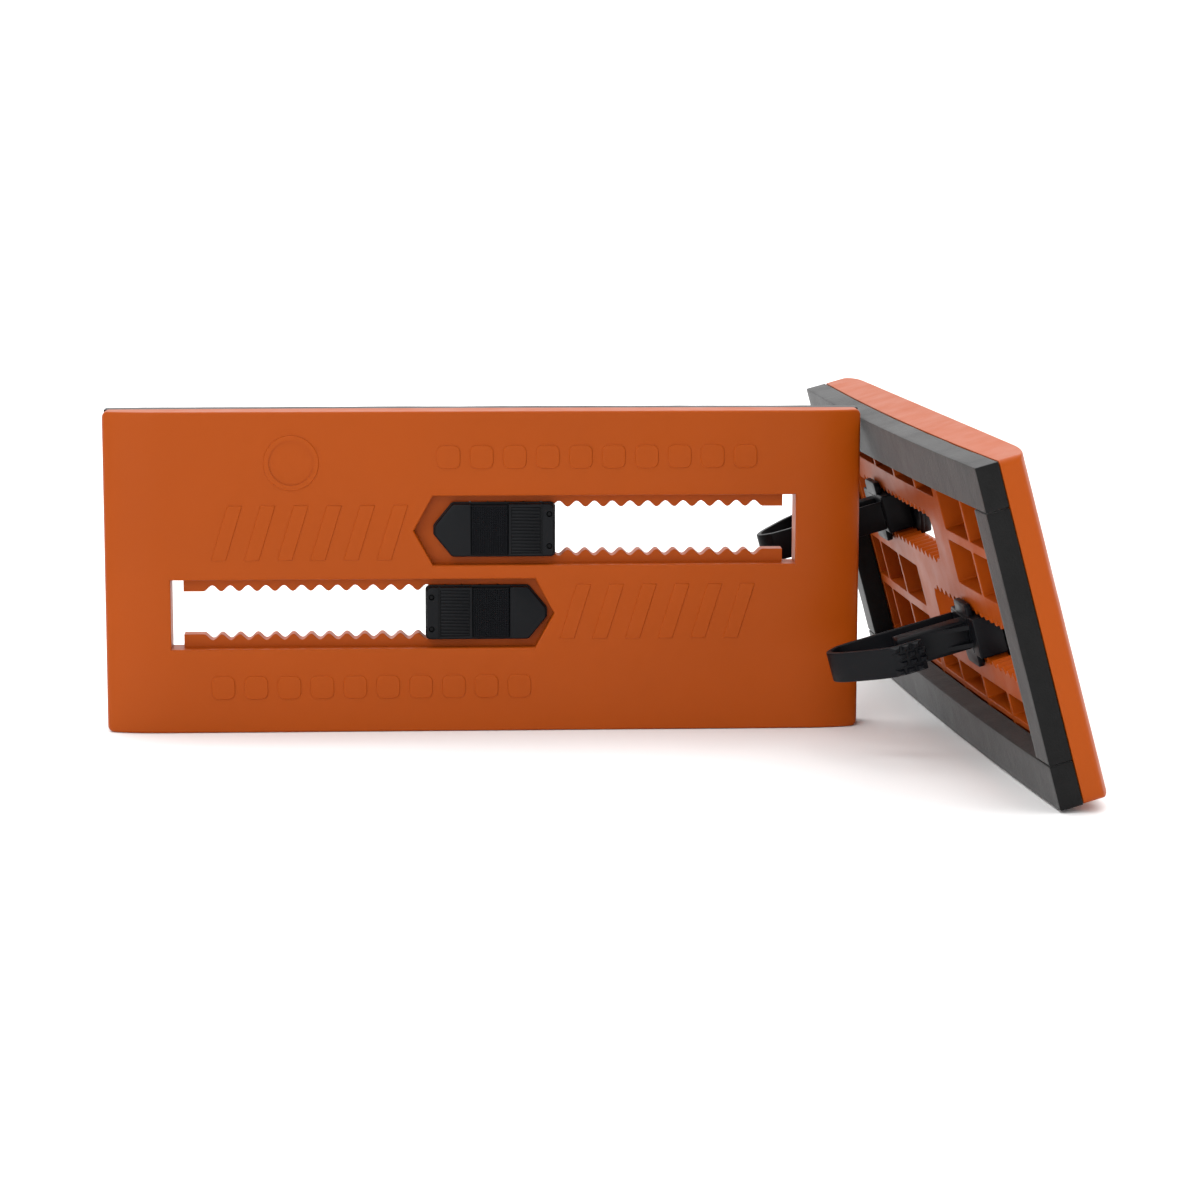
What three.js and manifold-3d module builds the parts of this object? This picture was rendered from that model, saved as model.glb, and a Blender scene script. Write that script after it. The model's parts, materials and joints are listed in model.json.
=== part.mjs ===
// A pair of floor-hole covers: one stands upright on its long edge, the other leans
// against its right-hand end. Each cover is a ribbed plastic shell with a foam gasket and
// two clamps that slide in toothed slots. Millimetres, +Z up, ground at z = 0.
import * as THREE from "three";
import Module from "manifold-3d";
import { mergeVertices } from "three/addons/utils/BufferGeometryUtils.js";

const wasm = await Module();
wasm.setup();

// ---- driving dimensions -------------------------------------------------------------
const GAP = 0.3; // clearance kept between neighbouring pieces
const LENGTH = 356; // cover, 14 in
const WIDTH = 152; // cover, 6 in
const HALF_L = LENGTH / 2;
const MID_Z = WIDTH / 2;
const CORNER_R = 5; // front-view corners of the shell
const END_DROP = 6; // how far the front face curves back at each short end
const END_RUN = 28; // length of that curve
const SKIN = 3; // front plate thickness
const BACK_DEPTH = 17; // front face to the back of the ribs and the gasket seat, mid-length
const BACK_CROWN = 2.5; // how much shallower the back is at the short ends
const BACK_FACETS = 15; // an odd number, so that the middle one is flat
const WALL = 2.5; // outer wall
const RIB = 3; // ribs across the cover
const LONG_RIB = 5; // ribs along the cover
const RIB_PITCH = 44;
const FOAM_T = 10.7; // gasket thickness
const FOAM_W = 20; // gasket width, 3/4 in tape

const SLOT_OFFSET = 19.7; // slot centre line from the middle of the cover
const SLOT_HALF = 16.45; // half width of the recess
const SLOT_TIP = -33; // pointed inner end, measured outward along the slot
const SLOT_SHOULDER = -24;
const SLOT_END = 147; // square outer end
const LEDGE_DEPTH = 7; // recess floor, where the slider head runs
const LEDGE_END = SLOT_END - 5.6; // the ledges stop short of the square end
const TOOTH_START = LEDGE_END - 9.3;
const TOOTH_PITCH = 8.4;
const TOOTH_TIP = 10.2; // half width of the through slot at the tooth tips
const TOOTH_HEIGHT = 2.8;
const THROUGH_START = -17; // inner end of the through slot
const FLANGE = 6.3; // solid band left round each slot at the back

const HEAD_TIP = -27; // slider head, as drawn
const HEAD_SHOULDER = -18;
const HEAD_END = 30.5;
const HEAD_HALF = 13;
const HEAD_NOSE = 2.4; // half width of the blunt tip
const HEAD_TOP = 1; // recessed this far below the front face
const HEAD_BASE = 4.6; // top of the head's base plate
const HEAD_BOTTOM = LEDGE_DEPTH - GAP;
const BAR_START = 24.5; // grip bar at the outer end of the head
const PAD_START = -9.5; // lock pad channel
const PAD_END = 8.5;
const PAD_THICK = 1.8;
const PIN_R = 1.15;
const PIN_SPACING = 15.2;
const PIN_S = 27.6;

const STEM_HALF = 9.4; // carrier stem, between the tooth tips
const STEM_START = -11;
const STEM_END = 29.4;
const WING_START = -1;
const WING_END = 21;
const WING_HALF = 15;
const WING_THICK = 3;
const BLOCK_START = 4; // backing block behind the strap's free end
const BLOCK_END = 14;
const BLOCK_HALF = 7;
const BLOCK_REACH = 53;

const STRAP_T = 2.5;
const STRAP_HALF = 7;
const STRAP_TIP = 83; // depth of the loop's tip below the front face
const STRAP_FREE_END = 44;

const MARK_RAISE = 0.5; // height of the raised marks on the front

// how far each clamp is slid out from where it is drawn, and where the leaning cover stands
const UPRIGHT_UPPER_OUT = 3.2;
const UPRIGHT_LOWER_OUT = -2.8;
const LEAN_POS = new THREE.Vector3(232.3, -13.05, 0);
const LEAN_YAW = 0.0823;
const LEAN_TILT = 0.2675;
const LEAN_UPPER_OUT = 85;
const LEAN_LOWER_OUT = 40;

// ---- colours ------------------------------------------------------------------------
const orange = new THREE.MeshStandardMaterial({ color: 0xc25a26, roughness: 0.5, metalness: 0 });
const foamGrey = new THREE.MeshStandardMaterial({ color: 0x3a3b3a, roughness: 0.95, metalness: 0 });
const blackNylon = new THREE.MeshStandardMaterial({ color: 0x222225, roughness: 0.55, metalness: 0 });
const padBlack = new THREE.MeshStandardMaterial({ color: 0x1b1b1e, roughness: 0.7, metalness: 0 });
const postBlack = new THREE.MeshStandardMaterial({ color: 0x151517, roughness: 0.6, metalness: 0 });

// ---- solid helpers ------------------------------------------------------------------
// Turns a three.js geometry into a manifold solid, so that it can be cut or joined.
function solid(geometry) {
  const bare = geometry.clone();
  bare.deleteAttribute("normal");
  bare.deleteAttribute("uv");
  const merged = mergeVertices(bare, 1e-4);
  return new wasm.Manifold(new wasm.Mesh({
    numProp: 3,
    vertProperties: new Float32Array(merged.attributes.position.array),
    triVerts: new Uint32Array(merged.index.array),
  }));
}

function toGeometry(manifold) {
  const mesh = manifold.getMesh();
  const geometry = new THREE.BufferGeometry();
  geometry.setAttribute("position", new THREE.BufferAttribute(new Float32Array(mesh.vertProperties), 3));
  geometry.setIndex(new THREE.BufferAttribute(new Uint32Array(mesh.triVerts), 1));
  geometry.computeVertexNormals();
  return geometry;
}

function box(x0, x1, y0, y1, z0, z1) {
  const geometry = new THREE.BoxGeometry(x1 - x0, y1 - y0, z1 - z0);
  geometry.translate((x0 + x1) / 2, (y0 + y1) / 2, (z0 + z1) / 2);
  return geometry;
}

// An outline drawn in X and Z, extruded from depth y0 to depth y1.
function prismXZ(points, y0, y1) {
  const shape = new THREE.Shape(points.map(([x, z]) => new THREE.Vector2(x, z)));
  const geometry = new THREE.ExtrudeGeometry(shape, { depth: y1 - y0, bevelEnabled: false });
  geometry.rotateX(Math.PI / 2);
  geometry.translate(0, y1, 0);
  return geometry;
}

// An outline drawn in X and Y, extruded from z0 to z1.
function prismXY(points, z0, z1) {
  const shape = new THREE.Shape(points.map(([x, y]) => new THREE.Vector2(x, y)));
  const geometry = new THREE.ExtrudeGeometry(shape, { depth: z1 - z0, bevelEnabled: false });
  geometry.translate(0, 0, z0);
  return geometry;
}

function arcPoints(cx, cz, r, from, to, steps) {
  return Array.from({ length: steps + 1 }, (_, i) => {
    const a = from + ((to - from) * i) / steps;
    return [cx + r * Math.cos(a), cz + r * Math.sin(a)];
  });
}

function roundedRect(x0, x1, z0, z1, r, steps = 4) {
  const q = Math.PI / 2;
  return [
    ...arcPoints(x1 - r, z0 + r, r, -q, 0, steps),
    ...arcPoints(x1 - r, z1 - r, r, 0, q, steps),
    ...arcPoints(x0 + r, z1 - r, r, q, 2 * q, steps),
    ...arcPoints(x0 + r, z0 + r, r, 2 * q, 3 * q, steps),
  ];
}

function joinAll(solids) {
  return solids.reduce((sum, next) => sum.add(next));
}

// Adds the copy of a solid turned half a turn about the middle of the cover.
function withTwin(manifold) {
  const twin = manifold.translate([0, 0, -MID_Z]).rotate([0, 180, 0]).translate([0, 0, MID_Z]);
  return manifold.add(twin);
}

// ---- shell --------------------------------------------------------------------------
// The front face is flat and curves back towards both short ends.
function frontProfile() {
  const start = HALF_L - END_RUN;
  const steps = 8;
  const right = Array.from({ length: steps + 1 }, (_, i) => {
    const t = i / steps;
    return [start + END_RUN * t, END_DROP * (1 - Math.sqrt(1 - 0.96 * t * t))];
  });
  const left = right.map(([x, y]) => [-x, y]).reverse();
  return [...left, ...right];
}

// The crowned back of the shell between two places along it, plus an even thickness.
function backProfile(x0, x1, thickness) {
  const facet = LENGTH / BACK_FACETS;
  const corners = Array.from({ length: BACK_FACETS + 1 }, (_, i) => {
    const x = -HALF_L + i * facet;
    return [x, BACK_DEPTH - BACK_CROWN * (x / HALF_L) ** 2 + thickness];
  });
  const depthAt = (x) => {
    const i = Math.min(Math.max(Math.floor((x + HALF_L) / facet), 0), BACK_FACETS - 1);
    const [[xa, ya], [xb, yb]] = [corners[i], corners[i + 1]];
    return ya + ((yb - ya) * (x - xa)) / (xb - xa);
  };
  const between = corners.filter(([x]) => x > x0 + 0.5 && x < x1 - 0.5);
  return [[x0, depthAt(x0)], ...between, [x1, depthAt(x1)]];
}

function shellBlank() {
  const back = backProfile(-HALF_L, HALF_L, 0).reverse();
  const body = solid(prismXY([...frontProfile(), ...back], 0, WIDTH));
  const outline = prismXZ(roundedRect(-HALF_L, HALF_L, 0, WIDTH, CORNER_R), -1, BACK_DEPTH + 1);
  return body.intersect(solid(outline));
}

// Half width of the through slot at a distance s along it.
function toothHalfWidth(s) {
  const phase = (2 * Math.PI * (TOOTH_START - s)) / TOOTH_PITCH;
  return TOOTH_TIP + (TOOTH_HEIGHT * (1 - Math.cos(phase))) / 2;
}

function throughSlotOutline() {
  const stepsPerTooth = 6;
  const count = Math.floor((TOOTH_START - THROUGH_START) / TOOTH_PITCH) * stepsPerTooth;
  const wave = Array.from({ length: count + 1 }, (_, i) => {
    const s = TOOTH_START - (i * TOOTH_PITCH) / stepsPerTooth;
    return [s, toothHalfWidth(s)];
  });
  const side = [[LEDGE_END, TOOTH_TIP], ...wave, [THROUGH_START + 2, TOOTH_TIP], [THROUGH_START, TOOTH_TIP - 4]];
  const mirrored = side.map(([s, w]) => [s, -w]).reverse();
  return [...side, ...mirrored].map(([s, w]) => [s, MID_Z + SLOT_OFFSET + w]);
}

// The upper slot: a pointed recess in the front with a toothed slot through its floor.
function slotCut() {
  const centre = MID_Z + SLOT_OFFSET;
  const recess = [
    [SLOT_TIP, centre],
    [SLOT_SHOULDER, centre - SLOT_HALF],
    [SLOT_END, centre - SLOT_HALF],
    [SLOT_END, centre + SLOT_HALF],
    [SLOT_SHOULDER, centre + SLOT_HALF],
  ];
  const past = 2;
  return joinAll([
    solid(prismXZ(recess, -past, LEDGE_DEPTH)),
    solid(prismXZ(throughSlotOutline(), LEDGE_DEPTH - 1, BACK_DEPTH + past)),
    solid(box(
      LEDGE_END - 0.01, SLOT_END, LEDGE_DEPTH - 1, BACK_DEPTH + past, centre - SLOT_HALF, centre + SLOT_HALF,
    )),
  ]);
}

// Pockets open at the back, between ribs that stand every RIB_PITCH from the middle.
function pocketRow(x0, x1, z0, z1, floor) {
  const pockets = [];
  const first = Math.floor(x0 / RIB_PITCH);
  const last = Math.ceil(x1 / RIB_PITCH);
  for (let i = first; i < last; i += 1) {
    const from = Math.max(x0, i * RIB_PITCH + RIB / 2);
    const to = Math.min(x1, (i + 1) * RIB_PITCH - RIB / 2);
    if (to - from > RIB) pockets.push(solid(box(from, to, floor, BACK_DEPTH + 1, z0, z1)));
  }
  return joinAll(pockets);
}

// Half of the pockets; the other half is its twin about the middle of the cover.
function pocketCut() {
  const inner = HALF_L - FOAM_W - RIB;
  const innerTop = WIDTH - FOAM_W - RIB;
  const slotTop = MID_Z + SLOT_OFFSET + SLOT_HALF + FLANGE;
  const rowsFrom = MID_Z - SLOT_OFFSET + SLOT_HALF + FLANGE;
  const rowsSplit = (rowsFrom + innerTop) / 2 - 2;
  const tipEdge = SLOT_TIP - FLANGE;
  const endFloor = SKIN + END_DROP + 0.5;
  return joinAll([
    pocketRow(-inner, tipEdge, rowsFrom, rowsSplit - LONG_RIB / 2, SKIN),
    pocketRow(-inner, tipEdge, rowsSplit + LONG_RIB / 2, innerTop, SKIN),
    pocketRow(tipEdge + RIB, inner, slotTop, innerTop, SKIN),
    pocketRow(-inner, inner, WIDTH - FOAM_W, WIDTH - WALL, SKIN),
    solid(box(inner + RIB, HALF_L - WALL - 1, endFloor, BACK_DEPTH + 1, FOAM_W, MID_Z - RIB / 2)),
    solid(box(inner + RIB, HALF_L - WALL - 1, endFloor, BACK_DEPTH + 1, MID_Z + RIB / 2, WIDTH - FOAM_W)),
  ]);
}

// Plain raised marks: slanted bars, a dashed line and, on one side only, a ring.
function slantedBars() {
  const bars = [];
  for (let i = 0; i < 6; i += 1) {
    const x = -128 + i * 15.5;
    bars.push(solid(prismXZ([[x, 82], [x + 7, 82], [x + 15, 108], [x + 8, 108]], -MARK_RAISE, 1)));
  }
  return joinAll(bars);
}

function dashedLine() {
  const dashes = [];
  for (let i = 0; i < 10; i += 1) {
    const x = -22 + i * 15.5;
    dashes.push(solid(prismXZ(roundedRect(x, x + 11, 125, 136, 3, 3), -MARK_RAISE, 1)));
  }
  return joinAll(dashes);
}

function ringMark() {
  const outer = new THREE.CylinderGeometry(13, 13, 1 + MARK_RAISE, 40);
  const inner = new THREE.CylinderGeometry(10.5, 10.5, 4, 40);
  const place = [-90, 0.5 - MARK_RAISE / 2, 128];
  return solid(outer).subtract(solid(inner)).translate(place);
}

function shellGeometry() {
  const cuts = withTwin(slotCut()).add(withTwin(pocketCut()));
  const marks = withTwin(slantedBars().add(dashedLine())).add(ringMark());
  return toGeometry(shellBlank().subtract(cuts).add(marks));
}

// ---- foam gasket --------------------------------------------------------------------
// Four strips with butt joints, as thick everywhere, that follow the crowned back.
function foamStrip(x0, x1, z0, z1) {
  const outer = backProfile(x0, x1, FOAM_T).reverse();
  return prismXY([...backProfile(x0, x1, GAP), ...outer], z0, z1);
}

function foamStrips() {
  const inner = WIDTH - FOAM_W;
  return {
    foam_top: foamStrip(-HALF_L, HALF_L, inner, WIDTH),
    foam_bottom: foamStrip(-HALF_L, HALF_L, 0, FOAM_W),
    foam_left: foamStrip(-HALF_L, -HALF_L + FOAM_W, FOAM_W + GAP, inner - GAP),
    foam_right: foamStrip(HALF_L - FOAM_W, HALF_L, FOAM_W + GAP, inner - GAP),
  };
}

// ---- clamp --------------------------------------------------------------------------
// Drawn for the upper slot, near its innermost place: X points outward along the slot,
// Y goes back from the front face, Z = 0 is the slot's centre line.
function headGeometry() {
  const outline = [
    [HEAD_TIP, HEAD_NOSE],
    [HEAD_TIP, -HEAD_NOSE],
    [HEAD_SHOULDER, -HEAD_HALF],
    [HEAD_END - 2, -HEAD_HALF],
    [HEAD_END, -HEAD_HALF + 2],
    [HEAD_END, HEAD_HALF - 2],
    [HEAD_END - 2, HEAD_HALF],
    [HEAD_SHOULDER, HEAD_HALF],
  ];
  const body = solid(prismXZ(outline, HEAD_TOP, HEAD_BOTTOM));
  const channel = solid(box(PAD_START, PAD_END, 0, HEAD_BASE, -20, 20));
  const groove = solid(box(BAR_START - 1, BAR_START, 0, HEAD_TOP + 0.8, -20, 20));
  const holes = pinPlaces().map((z) => {
    const hole = new THREE.CylinderGeometry(PIN_R + GAP, PIN_R + GAP, 10, 16);
    hole.translate(PIN_S, 5, z);
    return solid(hole);
  });
  return toGeometry(body.subtract(joinAll([channel, groove, ...holes])));
}

function pinPlaces() {
  return [-PIN_SPACING / 2, PIN_SPACING / 2];
}

function padGeometry() {
  const plate = box(
    PAD_START + GAP, PAD_END - GAP, HEAD_TOP, HEAD_TOP + PAD_THICK, -HEAD_HALF + 0.2, HEAD_HALF - 0.2,
  );
  return plate;
}

// Stem through the slot, with sockets for the pins, wings that run behind the flanges, and
// the backing block.
function carrierGeometry() {
  const backFace = BACK_DEPTH + GAP;
  const stem = solid(box(STEM_START, STEM_END, LEDGE_DEPTH, backFace + WING_THICK, -STEM_HALF, STEM_HALF));
  const wings = solid(box(WING_START, WING_END, backFace, backFace + WING_THICK, -WING_HALF, WING_HALF));
  const block = solid(
    box(BLOCK_START, BLOCK_END, backFace, BLOCK_REACH, -BLOCK_HALF, BLOCK_HALF),
  );
  const holes = pinPlaces().map((z) => {
    const hole = new THREE.CylinderGeometry(PIN_R + GAP, PIN_R + GAP, 12, 16);
    hole.translate(PIN_S, LEDGE_DEPTH + 5, z);
    return solid(hole);
  });
  return toGeometry(joinAll([stem, wings, block]).subtract(joinAll(holes)));
}

function pinGeometry(z) {
  const top = HEAD_TOP + 0.5;
  const bottom = LEDGE_DEPTH + 10;
  const pin = new THREE.CylinderGeometry(PIN_R, PIN_R, bottom - top, 16);
  pin.translate(PIN_S, (top + bottom) / 2, z);
  return pin;
}

// Centre line of the spring strap: up the inner leg, round the tip and down the flared
// outer leg to its free end.
function strapPath() {
  const foot = BACK_DEPTH + GAP + WING_THICK + GAP;
  const innerS = STEM_START + 1.8;
  const half = STRAP_T / 2;
  const loop = new THREE.CatmullRomCurve3([
    new THREE.Vector3(innerS, 72, 0),
    new THREE.Vector3(innerS + 1.2, 77.5, 0),
    new THREE.Vector3(innerS + 6.5, STRAP_TIP - half, 0),
    new THREE.Vector3(innerS + 13.5, 79.5, 0),
    new THREE.Vector3(innerS + 22, 72, 0),
    new THREE.Vector3(innerS + 31, 62.5, 0),
    new THREE.Vector3(innerS + 34.5, 57, 0),
  ]);
  const curve = loop.getPoints(26).map((p) => [p.x, p.y]);
  return [[innerS, foot], ...curve, [innerS + 34.5, STRAP_FREE_END]];
}

// The outline of a strip of even thickness about a centre line.
function stripOutline(path, thickness) {
  const left = [];
  const right = [];
  path.forEach(([x, y], i) => {
    const [ax, ay] = path[Math.max(i - 1, 0)];
    const [bx, by] = path[Math.min(i + 1, path.length - 1)];
    const length = Math.hypot(bx - ax, by - ay);
    const nx = (-(by - ay) / length) * (thickness / 2);
    const ny = ((bx - ax) / length) * (thickness / 2);
    left.push([x + nx, y + ny]);
    right.push([x - nx, y - ny]);
  });
  return [...left, ...right.reverse()];
}

// The strap, with rows of grip teeth on the outside of its free end.
function strapGeometry() {
  const path = strapPath();
  const strip = solid(prismXY(stripOutline(path, STRAP_T), -STRAP_HALF, STRAP_HALF));
  const face = path[path.length - 1][0] + STRAP_T / 2;
  const teeth = [];
  for (let row = 0; row < 3; row += 1) {
    const y = STRAP_FREE_END + 1 + row * 4;
    const profile = [[face - 0.5, y], [face + 1.5, y], [face - 0.5, y + 3.6]];
    teeth.push(solid(prismXY(profile, -STRAP_HALF + 0.5, STRAP_HALF - 0.5)));
  }
  return toGeometry(joinAll([strip, ...teeth]));
}

function clampPieces() {
  const [pinLow, pinHigh] = pinPlaces();
  return {
    slider_head: [headGeometry(), blackNylon],
    lock_pad: [padGeometry(), padBlack],
    carrier: [carrierGeometry(), blackNylon],
    strap: [strapGeometry(), blackNylon],
    pin_1: [pinGeometry(pinLow), postBlack],
    pin_2: [pinGeometry(pinHigh), postBlack],
  };
}

// ---- assembly -----------------------------------------------------------------------
function namedMesh(name, geometry, material) {
  const mesh = new THREE.Mesh(geometry, material);
  mesh.name = name;
  return mesh;
}

// One clamp, slid outward by the given distance. The lower one is the upper one turned
// half a turn about the middle of the cover.
function clampGroup(prefix, isUpper, slidOut) {
  const clamp = new THREE.Group();
  for (const [piece, [geometry, material]] of Object.entries(clampPieces())) {
    clamp.add(namedMesh(`${prefix}_${piece}`, geometry, material));
  }
  clamp.position.set(isUpper ? slidOut : -slidOut, 0, MID_Z + (isUpper ? SLOT_OFFSET : -SLOT_OFFSET));
  clamp.rotation.y = isUpper ? 0 : Math.PI;
  return clamp;
}

function coverGroup(prefix, upperOut, lowerOut) {
  const cover = new THREE.Group();
  cover.add(namedMesh(`${prefix}_shell`, shellGeometry(), orange));
  for (const [name, geometry] of Object.entries(foamStrips())) {
    cover.add(namedMesh(`${prefix}_${name}`, geometry, foamGrey));
  }
  cover.add(clampGroup(`${prefix}_upper`, true, upperOut));
  cover.add(clampGroup(`${prefix}_lower`, false, lowerOut));
  return cover;
}

// Stands the leaning cover on the outer edge of its bottom foam strip: its back faces
// -X, its length runs along -Y, and its top leans over towards -X.
function leaningCover() {
  const cover = coverGroup("leaning", LEAN_UPPER_OUT, LEAN_LOWER_OUT);
  cover.rotation.z = Math.PI / 2;
  cover.position.x = BACK_DEPTH;
  const tilted = new THREE.Group();
  tilted.add(cover);
  tilted.rotation.y = -LEAN_TILT;
  tilted.position.z = FOAM_T * Math.sin(LEAN_TILT);
  const turned = new THREE.Group();
  turned.add(tilted);
  turned.rotation.z = LEAN_YAW;
  turned.position.copy(LEAN_POS);
  return turned;
}

const covers = new THREE.Group();
covers.add(coverGroup("upright", UPRIGHT_UPPER_OUT, UPRIGHT_LOWER_OUT));
covers.add(leaningCover());

// The origin is the middle of the footprint, on the ground.
const bounds = new THREE.Box3().setFromObject(covers, true);
const middle = bounds.getCenter(new THREE.Vector3());
covers.position.set(-middle.x, -middle.y, -bounds.min.z);

export default covers;
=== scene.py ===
"""Looks for a pair of floor hole covers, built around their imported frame.

Each cover has a ribbed orange shell, a foam gasket in four strips and two black clamps that
slide in toothed slots. Every piece is drawn in its own cover's or clamp's directions and is
then put in place by a matrix worked out from the frame.
"""

import json
import math

import bmesh
import bpy
from bpy.props import FloatProperty, FloatVectorProperty, IntProperty, PointerProperty
from mathutils import Matrix, Vector, noise


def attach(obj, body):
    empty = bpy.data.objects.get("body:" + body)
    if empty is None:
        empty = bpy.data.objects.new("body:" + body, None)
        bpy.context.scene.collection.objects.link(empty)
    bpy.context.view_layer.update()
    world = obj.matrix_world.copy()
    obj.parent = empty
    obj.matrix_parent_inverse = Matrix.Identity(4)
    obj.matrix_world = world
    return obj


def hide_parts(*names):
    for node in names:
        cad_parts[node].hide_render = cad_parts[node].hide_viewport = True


bl_info = {
    "name": "Floor Hole Covers",
    "version": (1, 0, 0),
    "blender": (4, 5, 0),
    "location": "View3D > Sidebar > Covers",
    "description": "Builds the shells, gaskets and clamps of a pair of floor hole covers",
    "category": "Add Mesh",
}

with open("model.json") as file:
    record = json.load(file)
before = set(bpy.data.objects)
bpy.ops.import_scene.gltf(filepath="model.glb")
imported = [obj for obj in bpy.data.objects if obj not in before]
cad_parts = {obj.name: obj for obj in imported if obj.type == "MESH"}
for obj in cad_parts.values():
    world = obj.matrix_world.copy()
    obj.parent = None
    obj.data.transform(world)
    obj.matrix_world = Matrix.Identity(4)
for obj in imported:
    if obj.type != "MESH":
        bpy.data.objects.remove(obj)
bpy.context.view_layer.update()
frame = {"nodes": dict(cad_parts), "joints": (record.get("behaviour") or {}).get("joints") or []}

MM = 0.001
COVERS = ("upright", "leaning")
SLOTS = ("upper", "lower")
FOAM_STRIPS = ("foam_top", "foam_bottom", "foam_left", "foam_right")
TAU = 2 * math.pi


# ---- sizes and colours that a user may change ------------------------------------------


def size(name, description, default_mm):
    """A length property whose default is given in millimetres."""
    return FloatProperty(
        name=name, description=description, default=default_mm * MM, unit="LENGTH", precision=5
    )


def colour(name, description, default):
    """A colour property, linear red, green and blue."""
    return FloatVectorProperty(
        name=name, description=description, default=default, subtype="COLOR", size=3, min=0, max=1
    )


class CoverSizes(bpy.types.PropertyGroup):
    """Sizes of one cover's shell and slots"""

    corner_radius: size("Corner radius", "Rounding of the shell's four corners", 3)
    end_drop: size("End drop", "How far the front curves back at each short end", 7.5)
    end_run: size("End run", "Length of that curve", 28)
    skin: size("Skin", "Thickness of the front plate", 3)
    back_depth: size("Back depth", "Front face to the back of the ribs, at mid-length", 17)
    back_crown: size("Back crown", "How much shallower the back is at the short ends", 2.5)
    wall: size("Wall", "Thickness of the outer wall", 2.5)
    rib: size("Rib", "Thickness of the ribs across the cover", 3)
    long_rib: size("Long rib", "Thickness of the ribs along the cover", 5)
    rib_pitch: size("Rib pitch", "Distance between the ribs across the cover", 44)
    foam_width: size("Foam width", "Width of a gasket strip", 20)
    flange: size("Flange", "Solid band round each slot at the back", 6.3)
    slot_offset: size("Slot offset", "Slot centre line from the middle of the cover", 19.7)
    slot_half: size("Slot half width", "Half the width of the recess", 16.45)
    slot_tip: size("Slot tip", "Pointed inner end of a slot, inward of the middle", 33)
    slot_shoulder: size("Slot shoulder", "Where the point begins, inward of the middle", 24)
    slot_end: size("Slot end", "Square outer end of a slot", 147)
    ledge_depth: size("Ledge depth", "Front face to the toothed ledges", 7)
    ledge_gap: size("Ledge gap", "Ledges stop this short of the square end", 5.6)
    ledge_flat: size("Ledge flat", "Plain stretch before the first tooth", 9.3)
    tooth_pitch: size("Tooth pitch", "Distance between ledge teeth", 8.4)
    tooth_tip: size("Tooth tip", "Half the clear width between tooth tips", 10.2)
    tooth_height: size("Tooth height", "Height of a tooth", 2.8)
    through_start: size("Through start", "Inner end of the through slot, inward", 17)
    mark_raise: size("Mark height", "Height of the raised marks on the front", 0.5)


class ClampSizes(bpy.types.PropertyGroup):
    """Sizes of one clamp, from the middle of its cover at its innermost place"""

    head_end: size("Head end", "Outer end of the slider head", 30.5)
    head_tip: size("Head tip", "Pointed inner end of the head, inward", 27)
    head_shoulder: size("Head shoulder", "Where the head's point begins, inward", 18)
    head_half: size("Head half width", "Half the width of the head's base", 13)
    head_top: size("Head top", "Front face to the top of the head", 1)
    head_base: size("Head base", "Front face to the head's base plate", 4.6)
    head_bottom: size("Head bottom", "Front face to the underside of the head", 6.7)
    bar_start: size("Bar start", "Inner edge of the head's end bar", 24.5)
    pad_start: size("Pad start", "Inner edge of the lock pad, inward", 9.5)
    pad_end: size("Pad end", "Outer edge of the lock pad", 8.5)
    pad_thick: size("Pad thickness", "Thickness of the lock pad", 1.8)
    post_radius: size("Post radius", "Radius of a joining post", 1.15)
    post_spacing: size("Post spacing", "Distance between the two posts", 15.2)
    post_place: size("Post place", "The posts' distance along the head", 27.6)
    strap_thick: size("Strap thickness", "Thickness of the spring strap", 2.5)
    grip_rows: IntProperty(name="Grip rows", description="Rows of grip teeth", default=3, min=1)


class Finishes(bpy.types.PropertyGroup):
    """Colours of the materials"""

    orange: colour("Orange plastic", "Colour of the shells", (0.355, 0.059, 0.0015))
    foam: colour("Foam", "Colour of the gaskets", (0.0045, 0.0045, 0.0045))
    nylon: colour("Black nylon", "Colour of the clamps", (0.0030, 0.0036, 0.0050))
    floor: colour("Floor", "Colour of the floor", (0.90, 0.90, 0.90))


class StageSettings(bpy.types.PropertyGroup):
    """Camera and lights"""

    camera_place: FloatVectorProperty(
        name="Camera place", description="Where the camera stands", subtype="TRANSLATION",
        default=(-0.07363, -1.5545, 0.31006), size=3,
    )
    camera_turn: FloatVectorProperty(
        name="Camera turn", description="Pitch, roll and yaw of the camera", subtype="EULER",
        default=(-0.1563, -0.0022, -0.0551), size=3,
    )
    lens: FloatProperty(
        name="Lens", description="Focal length", default=101.08, unit="CAMERA", min=1
    )
    overhead_strength: FloatProperty(
        name="Overhead strength", description="Strength of the soft overhead light", default=3.0
    )
    front_strength: FloatProperty(
        name="Front strength", description="Strength of the soft front light", default=1.6
    )
    back_sky: FloatProperty(
        name="Back sky", description="Brightness of the surroundings behind the covers", default=1.2
    )
    front_sky: FloatProperty(
        name="Front sky", description="Brightness of the surroundings before them", default=0.12
    )


# ---- places worked out from the frame --------------------------------------------------


def joint_axis(name):
    """The direction of a joint, in the frame."""
    return next(Vector(j["axis"]).normalized() for j in frame["joints"] if j["name"] == name)


def extent(node, inverse):
    """Lowest and highest corner of a node in the directions of a matrix's inverse."""
    points = [inverse @ v.co for v in frame["nodes"][node].data.vertices]
    lowest = Vector([min(p[i] for p in points) for i in range(3)])
    highest = Vector([max(p[i] for p in points) for i in range(3)])
    return lowest, highest


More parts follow.
